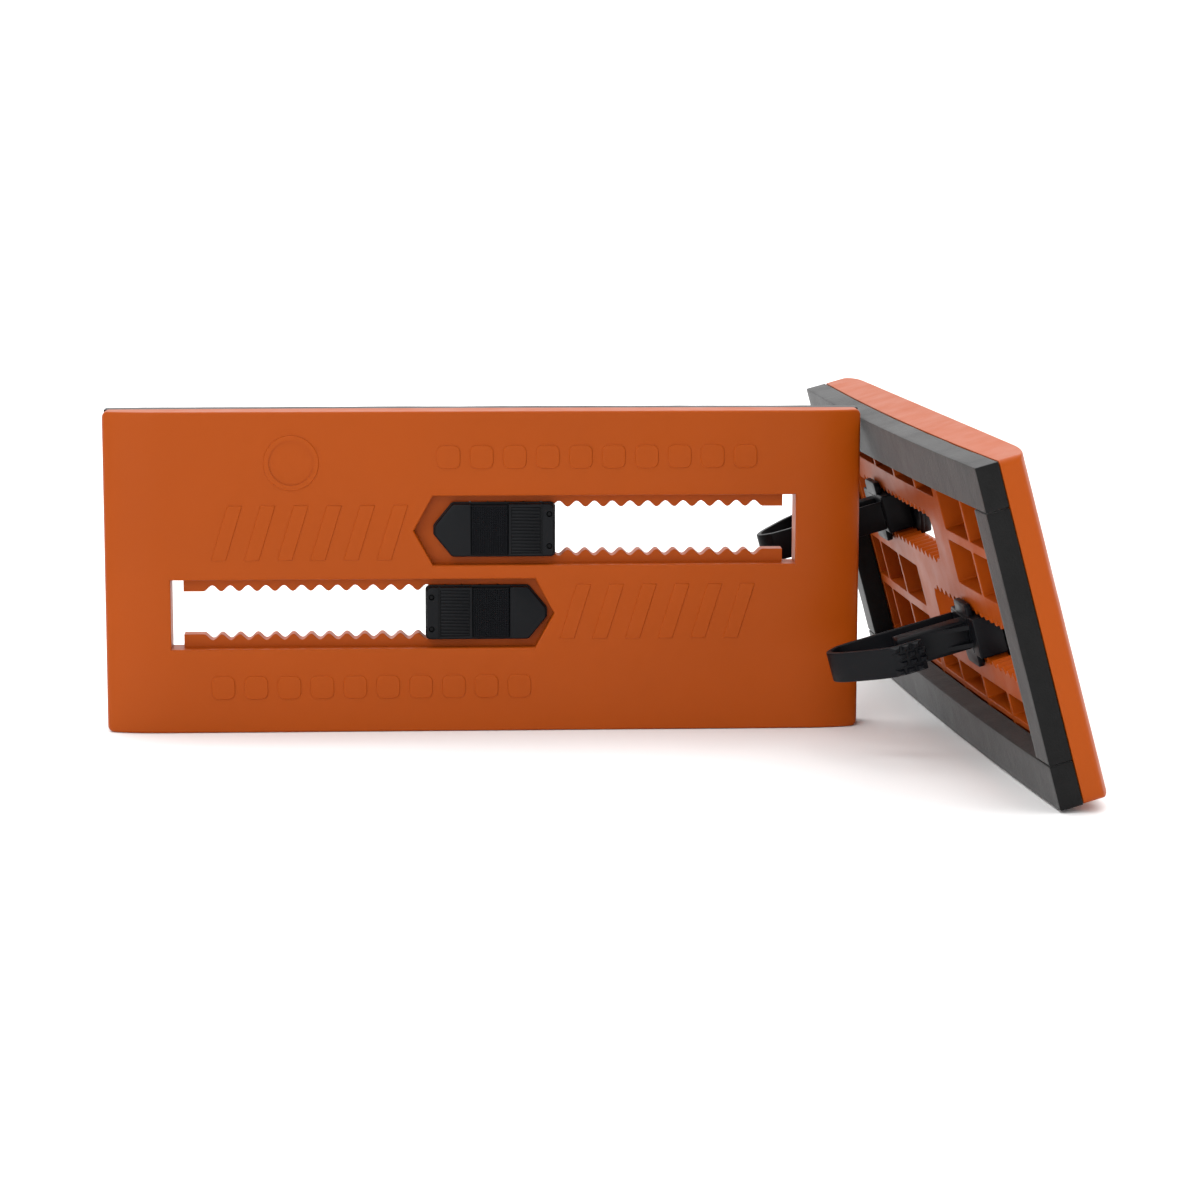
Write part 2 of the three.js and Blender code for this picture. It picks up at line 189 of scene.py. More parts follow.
def cover_matrix(cover, sizes):
    """A cover's own directions: X along the slots, Y back from the front face, Z across.
    Its origin is the middle of the bottom edge, in the plane of the front face."""
    along = joint_axis(f"{cover}_upper_slider_travel")
    back = joint_axis(f"{cover}_upper_lock_pad_press")
    turn = Matrix((along, back, along.cross(back))).transposed()
    lowest, highest = extent(f"{cover}_shell", turn.inverted())
    middle = Vector(((lowest.x + highest.x) / 2, lowest.y + sizes.mark_raise, lowest.z))
    return Matrix.Translation(turn @ middle) @ turn.to_4x4()


def cover_extent(cover, sizes):
    """Half the length, and the width, of a cover."""
    lowest, highest = extent(f"{cover}_shell", cover_matrix(cover, sizes).inverted())
    return (highest.x - lowest.x) / 2, highest.z - lowest.z


def clamp_matrix(cover, slot, sizes, clamp):
    """A clamp's own directions: X outward along its slot, Y back, Z across the slot. Its
    origin is the middle of the cover, shifted by as much as the clamp is slid out."""
    place = cover_matrix(cover, sizes)
    _, width = cover_extent(cover, sizes)
    lowest, highest = extent(f"{cover}_{slot}_slider_head", place.inverted())
    sign = 1 if slot == "upper" else -1
    reach = highest.x if slot == "upper" else -lowest.x
    shift = Vector((sign * (reach - clamp.head_end), 0, width / 2 + sign * sizes.slot_offset))
    turn = Matrix.Identity(4) if slot == "upper" else Matrix.Rotation(math.pi, 4, "Y")
    return place @ Matrix.Translation(shift) @ turn


# ---- mesh helpers ----------------------------------------------------------------------


def extruded(outline, axis, start, stop):
    """A prism: an outline in the other two directions, from start to stop along an axis."""
    bm = bmesh.new()

    def corner(a, b):
        return {"X": (start, a, b), "Y": (a, start, b), "Z": (a, b, start)}[axis]

    face = bm.faces.new([bm.verts.new(corner(a, b)) for a, b in outline])
    made = bmesh.ops.extrude_face_region(bm, geom=[face])
    moved = [e for e in made["geom"] if isinstance(e, bmesh.types.BMVert)]
    step = Vector([stop - start if axis == letter else 0 for letter in "XYZ"])
    bmesh.ops.translate(bm, verts=moved, vec=step)
    bmesh.ops.recalc_face_normals(bm, faces=bm.faces)
    return bm


def skinned(rings, strips=False):
    """A closed form through a stack of rings of equal count, capped at both ends. The caps
    of a curved form are strips that join the two halves of the ring."""
    bm = bmesh.new()
    rows = [[bm.verts.new(point) for point in ring] for ring in rings]
    for below, above in zip(rows, rows[1:]):
        for i in range(len(below)):
            k = (i + 1) % len(below)
            bm.faces.new((below[i], below[k], above[k], above[i]))
    for row in (rows[0], rows[-1]):
        if strips:
            for i in range(len(row) // 2 - 1):
                bm.faces.new((row[i], row[i + 1], row[-i - 2], row[-i - 1]))
        else:
            bm.faces.new(row)
    bmesh.ops.recalc_face_normals(bm, faces=bm.faces)
    return bm


def offset_outline(outline, distance):
    """A closed outline moved outward, or inward where the distance is negative."""
    count = len(outline)
    area = sum(
        outline[i][0] * outline[(i + 1) % count][1] - outline[(i + 1) % count][0] * outline[i][1]
        for i in range(count)
    )
    sign = 1 if area > 0 else -1
    moved = []
    for i, point in enumerate(outline):
        here = Vector(point)
        before = (here - Vector(outline[i - 1])).normalized()
        after = (Vector(outline[(i + 1) % count]) - here).normalized()
        normals = [Vector((d.y, -d.x)) * sign for d in (before, after)]
        middle = (normals[0] + normals[1]).normalized()
        stretch = distance / max(middle.dot(normals[0]), 0.4)
        moved.append(tuple(here + middle * stretch))
    return moved


def flared(outline, start, stop, radius, surface):
    """A cutting prism along Y whose edge is rounded where it meets a surface."""
    rings = [[(x, start, z) for x, z in offset_outline(outline, radius)]]
    for step in range(5):
        a = TAU / 4 * (1 - step / 4)
        flare = radius * (1 - math.cos(a))
        depth = surface + radius * (1 - math.sin(a))
        rings.append([(x, depth, z) for x, z in offset_outline(outline, flare)])
    rings.append([(x, stop, z) for x, z in outline])
    return skinned(rings)


def block(x, y, z):
    """A box between two limits in each direction."""
    bm = bmesh.new()
    bmesh.ops.create_cube(bm, size=1)
    scale = (x[1] - x[0], y[1] - y[0], z[1] - z[0])
    bmesh.ops.scale(bm, verts=bm.verts, vec=scale)
    middle = [(limits[0] + limits[1]) / 2 for limits in (x, y, z)]
    bmesh.ops.translate(bm, verts=bm.verts, vec=middle)
    return bm


def cylinder(radius, y, x, z, segments=24):
    """A cylinder along Y between two limits, at a place in X and Z."""
    bm = bmesh.new()
    bmesh.ops.create_cone(
        bm, cap_ends=True, segments=segments, radius1=radius, radius2=radius, depth=y[1] - y[0]
    )
    bmesh.ops.rotate(bm, verts=bm.verts, matrix=Matrix.Rotation(math.pi / 2, 3, "X"))
    bmesh.ops.translate(bm, verts=bm.verts, vec=(x, (y[0] + y[1]) / 2, z))
    return bm


def gather(parts):
    """Several closed forms in one mesh, left as separate shells."""
    whole = bmesh.new()
    for part in parts:
        mesh = to_mesh(part)
        whole.from_mesh(mesh)
        bpy.data.meshes.remove(mesh)
    return whole


def to_mesh(bm):
    """A new mesh from a bmesh, which is freed."""
    mesh = bpy.data.meshes.new("draft")
    bm.to_mesh(mesh)
    bm.free()
    return mesh


def combine(base, tool, operation):
    """Union or difference of two closed bmeshes, as a new bmesh."""
    objects = []
    for bm in (base, tool):
        draft = bpy.data.objects.new("draft", to_mesh(bm))
        bpy.context.scene.collection.objects.link(draft)
        objects.append(draft)
    modifier = objects[0].modifiers.new("Combine", "BOOLEAN")
    modifier.object = objects[1]
    modifier.operation = operation
    modifier.solver = "MANIFOLD"
    shaped = objects[0].evaluated_get(bpy.context.evaluated_depsgraph_get())
    result = bmesh.new()
    result.from_mesh(shaped.to_mesh())
    shaped.to_mesh_clear()
    for draft in objects:
        mesh = draft.data
        bpy.data.objects.remove(draft)
        bpy.data.meshes.remove(mesh)
    return result


def union(parts):
    """All the parts joined one after another."""
    whole = parts[0]
    for part in parts[1:]:
        whole = combine(whole, part, "UNION")
    return whole


def soften(bm, width, segments=2, sharper_than=30, chosen=None):
    """Rounds the sharp edges of a mesh."""
    limit = math.radians(sharper_than)
    edges = [
        e for e in bm.edges
        if e.is_manifold and e.calc_face_angle(0) > limit and (chosen is None or chosen(e))
    ]
    bmesh.ops.bevel(
        bm, geom=edges, offset=width, offset_type="OFFSET", segments=segments, profile=0.5,
        affect="EDGES", material=-1, clamp_overlap=True,
    )


def keep_flats(obj):
    """Weights the normals by area, so that flat faces stay flat beside rounded edges."""
    weighted = obj.modifiers.new("Flat faces", "WEIGHTED_NORMAL")
    weighted.keep_sharp = True
    weighted.weight = 100


def finished(name, bm, place, material, body, nodes, smooth_angle=35):
    """Makes the object, puts it in place, ties it to its body and hides the CAD nodes it stands in for."""
    bmesh.ops.transform(bm, matrix=place, verts=bm.verts)
    mesh = to_mesh(bm)
    mesh.name = name
    obj = bpy.data.objects.new(name, mesh)
    bpy.context.scene.collection.objects.link(obj)
    mesh.materials.append(material)
    mesh.polygons.foreach_set("use_smooth", [True] * len(mesh.polygons))
    mesh.set_sharp_from_angle(angle=math.radians(smooth_angle))
    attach(obj, body)
    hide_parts(*nodes)
    return obj


def rounded_rect(x, z, radius, steps=4):
    """Outline of a rectangle with rounded corners."""
    corners = ((x[1], z[0], -0.25), (x[1], z[1], 0), (x[0], z[1], 0.25), (x[0], z[0], 0.5))
    outline = []
    for cx, cz, start in corners:
        mx = cx - radius if cx == x[1] else cx + radius
        mz = cz - radius if cz == z[1] else cz + radius
        for i in range(steps + 1):
            a = TAU * (start + 0.25 * i / steps)
            outline.append((mx + radius * math.cos(a), mz + radius * math.sin(a)))
    return outline


# ---- materials -------------------------------------------------------------------------


def new_material(name):
    """A node material with its shader, and the Object coordinates that patterns use."""
    material = bpy.data.materials.new(name)
    material.use_nodes = True
    tree = material.node_tree
    shader = tree.nodes["Principled BSDF"]
    coordinates = tree.nodes.new("ShaderNodeTexCoord")
    return material, tree, shader, coordinates.outputs["Object"]


def add_noise(tree, vector, scale, detail=3, roughness=0.5):
    """A noise texture's value output."""
    node = tree.nodes.new("ShaderNodeTexNoise")
    node.inputs["Scale"].default_value = scale
    node.inputs["Detail"].default_value = detail
    node.inputs["Roughness"].default_value = roughness
    tree.links.new(vector, node.inputs["Vector"])
    return node.outputs["Fac"]


def remap(tree, value, low, high, start=0.3, stop=0.7):
    """Maps the middle of a 0 to 1 value onto a new range."""
    node = tree.nodes.new("ShaderNodeMapRange")
    for socket, number in zip(("From Min", "From Max", "To Min", "To Max"), (start, stop, low, high)):
        node.inputs[socket].default_value = number
    tree.links.new(value, node.inputs["Value"])
    return node.outputs["Result"]


def tinted(tree, colour_value, factor):
    """A colour made lighter or darker by a factor that varies over the surface."""
    node = tree.nodes.new("ShaderNodeMix")
    node.data_type = "RGBA"
    node.blend_type = "MULTIPLY"
    node.inputs["Factor"].default_value = 1
    node.inputs["A"].default_value = (*colour_value, 1)
    tree.links.new(factor, node.inputs["B"])
    return node.outputs["Result"]


def add_bump(tree, shader, heights):
    """Stacks bumps, each a value, a strength and a distance in metres."""
    normal = None
    for value, strength, distance in heights:
        node = tree.nodes.new("ShaderNodeBump")
        node.inputs["Strength"].default_value = strength
        node.inputs["Distance"].default_value = distance
        tree.links.new(value, node.inputs["Height"])
        if normal:
            tree.links.new(normal, node.inputs["Normal"])
        normal = node.outputs["Normal"]
    tree.links.new(normal, shader.inputs["Normal"])


def moulded_plastic(name, base, roughness, grain, grain_depth, variation):
    """Moulded plastic: a fine grain, slow changes of tone, and a satin gloss."""
    material, tree, shader, coordinates = new_material(name)
    slow = remap(tree, add_noise(tree, coordinates, 9), 1 - variation, 1 + variation)
    tree.links.new(tinted(tree, base, slow), shader.inputs["Base Color"])
    patches = add_noise(tree, coordinates, 60, 4)
    tree.links.new(
        remap(tree, patches, roughness - 0.05, roughness + 0.07), shader.inputs["Roughness"]
    )
    fine = add_noise(tree, coordinates, grain, 2)
    broad = add_noise(tree, coordinates, 45, 2)
    add_bump(tree, shader, [(broad, 0.04, 0.0006), (fine, 0.35, grain_depth)])
    shader.inputs["Specular IOR Level"].default_value = 0.14
    return material


def orange_plastic(finishes):
    """The shells' satin orange."""
    return moulded_plastic("orange_plastic", finishes.orange, 0.42, 1500, 0.00008, 0.035)


def black_nylon(finishes):
    """The clamps' black."""
    return moulded_plastic("black_nylon", finishes.nylon, 0.40, 1800, 0.00006, 0.12)


def pad_plastic(finishes):
    """The lock pads' duller black."""
    return moulded_plastic("pad_plastic", finishes.nylon, 0.52, 2200, 0.00006, 0.10)


def post_plastic(finishes):
    """The joining posts' matt black."""
    darker = [0.6 * c for c in finishes.nylon]
    return moulded_plastic("post_plastic", darker, 0.6, 1800, 0.00006, 0.08)


def closed_cell_foam(finishes):
    """Gasket foam: small cells, a mottled tone and a dull sheen."""
    material, tree, shader, coordinates = new_material("closed_cell_foam")
    mottle = remap(tree, add_noise(tree, coordinates, 140, 4, 0.6), 0.8, 1.3)
    tree.links.new(tinted(tree, finishes.foam, mottle), shader.inputs["Base Color"])
    shader.inputs["Specular IOR Level"].default_value = 0.15
    shader.inputs["Sheen Weight"].default_value = 0.22
    shader.inputs["Sheen Roughness"].default_value = 0.35
    patches = add_noise(tree, coordinates, 30, 3)
    tree.links.new(remap(tree, patches, 0.50, 0.66), shader.inputs["Roughness"])
    cells = tree.nodes.new("ShaderNodeTexVoronoi")
    cells.inputs["Scale"].default_value = 1100
    tree.links.new(coordinates, cells.inputs["Vector"])
    dents = add_noise(tree, coordinates, 90, 3)
    add_bump(tree, shader, [(dents, 0.25, 0.0006), (cells.outputs["Distance"], 0.35, 0.00022)])
    return material


def floor_finish(finishes):
    """Pale matt floor with a barely visible mottle."""
    material, tree, shader, coordinates = new_material("pale_floor")
    mottle = remap(tree, add_noise(tree, coordinates, 6), 0.99, 1.01)
    tree.links.new(tinted(tree, finishes.floor, mottle), shader.inputs["Base Color"])
    shader.inputs["Roughness"].default_value = 0.9
    shader.inputs["Specular IOR Level"].default_value = 0.1
    return material


# ---- shell -----------------------------------------------------------------------------


def front_depth(x, sizes, half):
    """Depth of the front face: flat, and curved back at both ends."""
    t = max(0, (abs(x) - (half - sizes.end_run)) / sizes.end_run)
    return sizes.end_drop * (1 - math.sqrt(1 - 0.96 * t * t))


def back_depth(x, sizes, half):
    """Depth of the crowned back."""
    return sizes.back_depth - sizes.back_crown * (x / half) ** 2


def cover_ring(half, width, radius, inset):
    """The cover's outline from the front, drawn in by some distance: the lower side from
    left to right, then the upper side from right to left, with matching places along it."""
    reach, low = half - inset, inset
    corner = max(radius - inset, 0.3 * MM)
    arc = [TAU / 4 * k / 6 for k in range(7)]
    left = [(-reach + corner * (1 - math.cos(a)), low + corner * (1 - math.sin(a))) for a in arc]
    straight = reach - corner
    stops = [straight * math.sin(TAU / 4 * k / 34) for k in range(-33, 34)]
    lower = left + [(x, low) for x in stops] + [(-x, z) for x, z in reversed(left)]
    return lower + [(x, width - z) for x, z in reversed(lower)]


def shell_blank(sizes, half, width):
    """The shell before anything is cut out of it, with its outer edges rounded."""
    round_front, round_back = 1.1 * MM, 0.4 * MM
    rings = []
    for step in range(5):
        a = TAU / 4 * step / 4
        inset = round_front * (1 - math.sin(a))
        rise = round_front * (1 - math.cos(a))
        rings.append([
            (x, front_depth(x, sizes, half) + rise, z)
            for x, z in cover_ring(half, width, sizes.corner_radius, inset)
        ])
    for step in range(3):
        a = TAU / 4 * step / 2
        inset = round_back * (1 - math.cos(a))
        rise = round_back * (1 - math.sin(a))
        rings.append([
            (x, back_depth(x, sizes, half) - rise, z)
            for x, z in cover_ring(half, width, sizes.corner_radius, inset)
        ])
    return skinned(rings, strips=True)


def slot_side(sizes):
    """One side of the toothed through slot: places along it and half widths."""
    ledge_end = sizes.slot_end - sizes.ledge_gap
    tooth_start = ledge_end - sizes.ledge_flat
    steps = 12
    teeth = int((tooth_start + sizes.through_start) / sizes.tooth_pitch)
    side = [(ledge_end, sizes.tooth_tip)]
    for i in range(teeth * steps + 1):
        rise = (1 - math.cos(TAU * i / steps)) / 2
        along = tooth_start - i * sizes.tooth_pitch / steps
        side.append((along, sizes.tooth_tip + sizes.tooth_height * rise))
    side.append((-sizes.through_start + 2 * MM, sizes.tooth_tip))
    side.append((-sizes.through_start, sizes.tooth_tip - 4 * MM))
    return side


def through_outline(sizes, centre):
    """The toothed through slot, which runs 1 mm into its wide outer end."""
    side = slot_side(sizes)
    upper = [(side[0][0] + 1 * MM, sizes.tooth_tip)] + side[1:]
    return [(x, centre + z) for x, z in upper] + [(x, centre - z) for x, z in reversed(upper)]


def recess_outline(sizes, centre):
    """The pointed recess that the slider head runs in."""
    low, high = centre - sizes.slot_half, centre + sizes.slot_half
    return [
        (-sizes.slot_tip, centre), (-sizes.slot_shoulder, low), (sizes.slot_end, low),
        (sizes.slot_end, high), (-sizes.slot_shoulder, high),
    ]


def turned_half(bm, width):
    """A copy of a mesh turned half a turn about the middle of the cover."""
    twin = bm.copy()
    centre = Matrix.Translation((0, 0, width / 2))
    turn = centre @ Matrix.Rotation(math.pi, 4, "Y") @ centre.inverted()
    bmesh.ops.transform(twin, matrix=turn, verts=twin.verts)
    return twin


def with_twin(bm, width):
    """A mesh and its copy turned half a turn, as separate shells of one mesh."""
    twin = turned_half(bm, width)
    return gather([bm, twin])


def pocket_row(x, z, floor, sizes, half):
    """Pockets open at the back, between ribs that stand at even distances. A gap narrower
    than two ribs is left solid."""
    pockets = []
    for i in range(math.floor(x[0] / sizes.rib_pitch), math.ceil(x[1] / sizes.rib_pitch)):
        start = max(x[0], i * sizes.rib_pitch + sizes.rib / 2)
        stop = min(x[1], (i + 1) * sizes.rib_pitch - sizes.rib / 2)
        if stop - start > 2 * sizes.rib:
            pockets.append(pocket((start, stop), z, floor, sizes, half))
    return pockets


def pocket(x, z, floor, sizes, half):
    """One pocket, with rounded corners and a softened rim at the crowned back."""
    radius, lip = 1.2 * MM, 0.35 * MM
    outline = rounded_rect(x, z, radius, 3)
    rings = [[(px, floor, pz) for px, pz in outline]]
    for step in range(4):
        a = TAU / 4 * step / 3
        flare = lip * (1 - math.cos(a))
        rise = lip * (1 - math.sin(a))
        rings.append([
            (px, back_depth(px, sizes, half) - rise, pz) for px, pz in offset_outline(outline, flare)
        ])
    rings.append([(px, sizes.back_depth + 2 * MM, pz) for px, pz in offset_outline(outline, lip)])
    return skinned(rings)


def pocket_cuts(sizes, half, width):
    """Half of the shell's pockets; the rest are their twins."""
    inner = half - sizes.foam_width - sizes.rib
    inner_top = width - sizes.foam_width - sizes.rib
    slot_top = width / 2 + sizes.slot_offset + sizes.slot_half + sizes.flange
    rows_from = width / 2 - sizes.slot_offset + sizes.slot_half + sizes.flange
    rows_split = (rows_from + inner_top) / 2 - 2 * MM
    tip_edge = -sizes.slot_tip - sizes.flange
    end_floor = sizes.skin + sizes.end_drop + 0.5 * MM
    band = (inner + sizes.rib, half - sizes.wall - 1 * MM)
    middle = width / 2
    rows = (
        ((-inner, tip_edge), (rows_from, rows_split - sizes.long_rib / 2)),
        ((-inner, tip_edge), (rows_split + sizes.long_rib / 2, inner_top)),
        ((tip_edge + sizes.rib, inner), (slot_top, inner_top)),
        ((-inner, inner), (width - sizes.foam_width, width - sizes.wall)),
    )
    cuts = []
    for x, z in rows:
        cuts += pocket_row(x, z, sizes.skin, sizes, half)
    end_rows = (
        (sizes.foam_width, middle - sizes.rib / 2),
        (middle + sizes.rib / 2, width - sizes.foam_width),
    )
    cuts += [pocket(band, z, end_floor, sizes, half) for z in end_rows]
    return gather(cuts)


def raised_mark(outline, height):
    """A low mark that stands up from the front face with a rounded edge."""
    rings = [[(x, 1 * MM, z) for x, z in outline]]
    for step in range(4):
        a = TAU / 4 * step / 3
        inset = 0.45 * MM * (1 - math.cos(a))
        rings.append([(x, -height * math.sin(a), z) for x, z in offset_outline(outline, -inset)])
    return skinned(rings)


def front_marks(sizes, width):
    """Plain raised marks: slanted bars, a dashed line and, on one side only, a ring."""
    pitch = 15.5 * MM
    bar_low, bar_high, bar_width, slant = 82 * MM, 108 * MM, 7 * MM, 8 * MM
    dash_low, dash_side = 125 * MM, 11 * MM
    marks = []
    for i in range(6):
        x = -128 * MM + i * pitch
        shape = [
            (x, bar_low), (x + bar_width, bar_low),
            (x + bar_width + slant, bar_high), (x + slant, bar_high),
        ]
        marks.append(raised_mark(shape, sizes.mark_raise))
    for i in range(10):
        x = -22 * MM + i * pitch
        shape = rounded_rect((x, x + dash_side), (dash_low, dash_low + dash_side), 3 * MM)
        marks.append(raised_mark(shape, sizes.mark_raise))
    circle = [(math.cos(TAU * i / 64), math.sin(TAU * i / 64)) for i in range(64)]
    ring_x, ring_z = -90 * MM, 128 * MM
    outer, inner = 13 * MM, 10.5 * MM
    discs = [[(ring_x + r * c, ring_z + r * s) for c, s in circle] for r in (outer, inner)]
    ring = combine(
        raised_mark(discs[0], sizes.mark_raise), extruded(discs[1], "Y", -2 * MM, 3 * MM), "DIFFERENCE"
    )
    return gather([with_twin(gather(marks), width), ring])


def slot_cuts(sizes, width, half):
    """The upper slot: its recess, its wide outer end, and the toothed slot between ledges."""
    centre = width / 2 + sizes.slot_offset
    past = sizes.back_depth + 2 * MM
    recess = flared(recess_outline(sizes, centre), -2 * MM, sizes.ledge_depth, 0.9 * MM, 0)
    wide_end = block(
        (sizes.slot_end - sizes.ledge_gap, sizes.slot_end), (sizes.ledge_depth - 1 * MM, past),
        (centre - sizes.slot_half, centre + sizes.slot_half),
    )
    shape = through_outline(sizes, centre)
    edge = 0.45 * MM
    rings = [[(x, sizes.ledge_depth - 1 * MM, z) for x, z in offset_outline(shape, edge)]]
    for step in range(4):
        a = TAU / 4 * (1 - step / 3)
        depth = sizes.ledge_depth + edge * (1 - math.sin(a))
        flare = edge * (1 - math.cos(a))
        rings.append([(x, depth, z) for x, z in offset_outline(shape, flare)])
    for step in range(4):
        a = TAU / 4 * step / 3
        flare = edge * (1 - math.cos(a))
        rise = edge * (1 - math.sin(a))
        rings.append([
            (x, back_depth(x, sizes, half) - rise, z) for x, z in offset_outline(shape, flare)
        ])
    rings.append([(x, past, z) for x, z in offset_outline(shape, edge)])
    return recess, wide_end, skinned(rings)


def shell_mesh(cover, sizes):
    """One finished shell in its own directions."""
    half, width = cover_extent(cover, sizes)
    bm = shell_blank(sizes, half, width)
    for cut in slot_cuts(sizes, width, half):
        bm = combine(bm, with_twin(cut, width), "DIFFERENCE")
    bm = combine(bm, with_twin(pocket_cuts(sizes, half, width), width), "DIFFERENCE")
    return combine(bm, front_marks(sizes, width), "UNION")


class COVERS_OT_shells(bpy.types.Operator):
    """Model the ribbed shells of both covers"""

    bl_idname = "covers.shells"
    bl_label = "Shells"

    def execute(self, context):
        sizes = context.scene.cover_sizes
        material = orange_plastic(context.scene.cover_finishes)
        for cover in COVERS:
            obj = finished(
                f"{cover}_shell_body", shell_mesh(cover, sizes), cover_matrix(cover, sizes), material,
                f"{cover}_cover", [f"{cover}_shell"], 50,
            )
            keep_flats(obj)
        return {"FINISHED"}


# ---- gasket ----------------------------------------------------------------------------


def foam_strip(lowest, highest, sizes, half, seed):
    """A strip of foam tape that follows the crowned back, with soft, uneven edges."""
    bm = block(*zip(lowest, highest))
    spans = [highest[i] - lowest[i] for i in range(3)]
    step = 2.6 * MM
    for axis in range(3):
        cuts = int(spans[axis] / step)
        for i in range(1, cuts):
            normal = [1 if k == axis else 0 for k in range(3)]
            point = [lowest[k] + spans[k] * i / cuts for k in range(3)]
            bmesh.ops.bisect_plane(
                bm, geom=bm.verts[:] + bm.edges[:] + bm.faces[:], plane_co=point, plane_no=normal
            )
    soften(bm, 0.6 * MM, 3, 60)
    bm.normal_update()
    moves = []
    for vert in bm.verts:
        slow = noise.noise(vert.co * 38 + Vector((seed, 0, 0)))
        quick = noise.noise(vert.co * 160 + Vector((0, seed, 0)))
        sink = (0.14 * (slow + 1) + 0.06 * (quick + 1)) * MM
        moves.append(-vert.normal * sink)
    for vert, move in zip(bm.verts, moves):
        vert.co += move
    glue, thick = 0.3 * MM, 10.4 * MM
    for vert in bm.verts:
        share = (vert.co.y - lowest[1]) / spans[1]
        vert.co.y = back_depth(vert.co.x, sizes, half) + glue + share * thick
    return bm


class COVERS_OT_gaskets(bpy.types.Operator):
    """Model the foam gasket strips of both covers"""

    bl_idname = "covers.gaskets"
    bl_label = "Gaskets"

    def execute(self, context):
        sizes = context.scene.cover_sizes
        material = closed_cell_foam(context.scene.cover_finishes)
        for c, cover in enumerate(COVERS):
            place = cover_matrix(cover, sizes)
            half, _ = cover_extent(cover, sizes)
            for s, strip in enumerate(FOAM_STRIPS):
                lowest, highest = extent(f"{cover}_{strip}", place.inverted())
                bm = foam_strip(lowest, highest, sizes, half, 7 * c + 3 * s)
                obj = finished(
                    f"{cover}_{strip}_tape", bm, place, material, f"{cover}_cover",
                    [f"{cover}_{strip}"], 60,
                )
        return {"FINISHED"}


# ---- clamps ----------------------------------------------------------------------------


def head_outline(clamp, inset):
    """The head's outline with rounded outer corners and a blunt, rounded inner end."""
    half = clamp.head_half - inset
    end = clamp.head_end - inset
    radius = 2.2 * MM
    tip = -clamp.head_tip + inset
    shoulder = -clamp.head_shoulder + 0.3 * inset
    nose = 2.4 * MM
    outline = [(tip + 0.5 * MM, -nose - 0.4 * MM), (shoulder - 0.6 * MM, -half + 0.5 * MM)]
    outline.append((shoulder + 0.4 * MM, -half))
    for i in range(5):
        a = TAU * (-0.25 + 0.25 * i / 4)
        outline.append((end - radius + radius * math.cos(a), -half + radius + radius * math.sin(a)))
    outline += [(x, -z) for x, z in reversed(outline)]
    return outline + [(tip, nose - 0.5 * MM), (tip, 0.5 * MM - nose)]


def head_mesh(clamp):
    """The thumb slider: base plate, pointed nose, ribbed grip and end bar."""
    base = extruded(head_outline(clamp, 0), "Y", clamp.head_base, clamp.head_bottom)
    soften(base, 0.35 * MM, 2, 40)
    top = extruded(head_outline(clamp, 0.6 * MM), "Y", clamp.head_top, clamp.head_base + 0.5 * MM)
    soften(top, 0.7 * MM, 3, 40, lambda e: max(v.co.y for v in e.verts) < clamp.head_base)
    whole = combine(base, top, "UNION")
    wide = (-20 * MM, 20 * MM)
    channel = block((-clamp.pad_start, clamp.pad_end), (0, clamp.head_base), wide)
    whole = combine(whole, channel, "DIFFERENCE")
    grip = (clamp.pad_end + 1.0 * MM, clamp.bar_start - 1.0 * MM)
    inner = clamp.head_half - 2.0 * MM
    sunk = block(grip, (0, clamp.head_top + 0.9 * MM), (-inner, inner))
    groove = block((clamp.bar_start - 1 * MM, clamp.bar_start), (0, clamp.head_top + 0.9 * MM), wide)
    whole = combine(whole, combine(sunk, groove, "UNION"), "DIFFERENCE")
    count = 14
    pitch = 2 * inner / count
    ribs = []
    for i in range(count):
        z = -inner + pitch * (i + 0.5)
        rib = block(
            (grip[0] + 0.3 * MM, grip[1] - 0.3 * MM),
            (clamp.head_top + 0.15 * MM, clamp.head_top + 1.2 * MM), (z - 0.3 * pitch, z + 0.3 * pitch),
        )
        soften(rib, 0.22 * MM, 2)
        ribs.append(rib)
    whole = combine(whole, gather(ribs), "UNION")
    teeth = []
    steps = 36
    first = -clamp.head_shoulder + 1.5 * MM
    step = (clamp.bar_start - 1.5 * MM - first) / steps
    for i in range(steps + 1):
        x = first + i * step
        if -clamp.pad_start - 0.6 * MM < x < clamp.pad_end + 0.6 * MM:
            continue
        for side in (-1, 1):
            z = sorted((side * (clamp.head_half - 1.6 * MM), side * (clamp.head_half - 0.7 * MM)))
            y = (clamp.head_top + 0.5 * MM, clamp.head_base + 0.2 * MM)
            teeth.append(block((x - 0.28 * MM, x + 0.28 * MM), y, z))
    whole = combine(whole, gather(teeth), "UNION")
    holes = [
        cylinder(clamp.post_radius + 0.25 * MM, (0, 10 * MM), clamp.post_place, side * clamp.post_spacing / 2)
        for side in (-1, 1)
    ]
    return combine(whole, gather(holes), "DIFFERENCE")


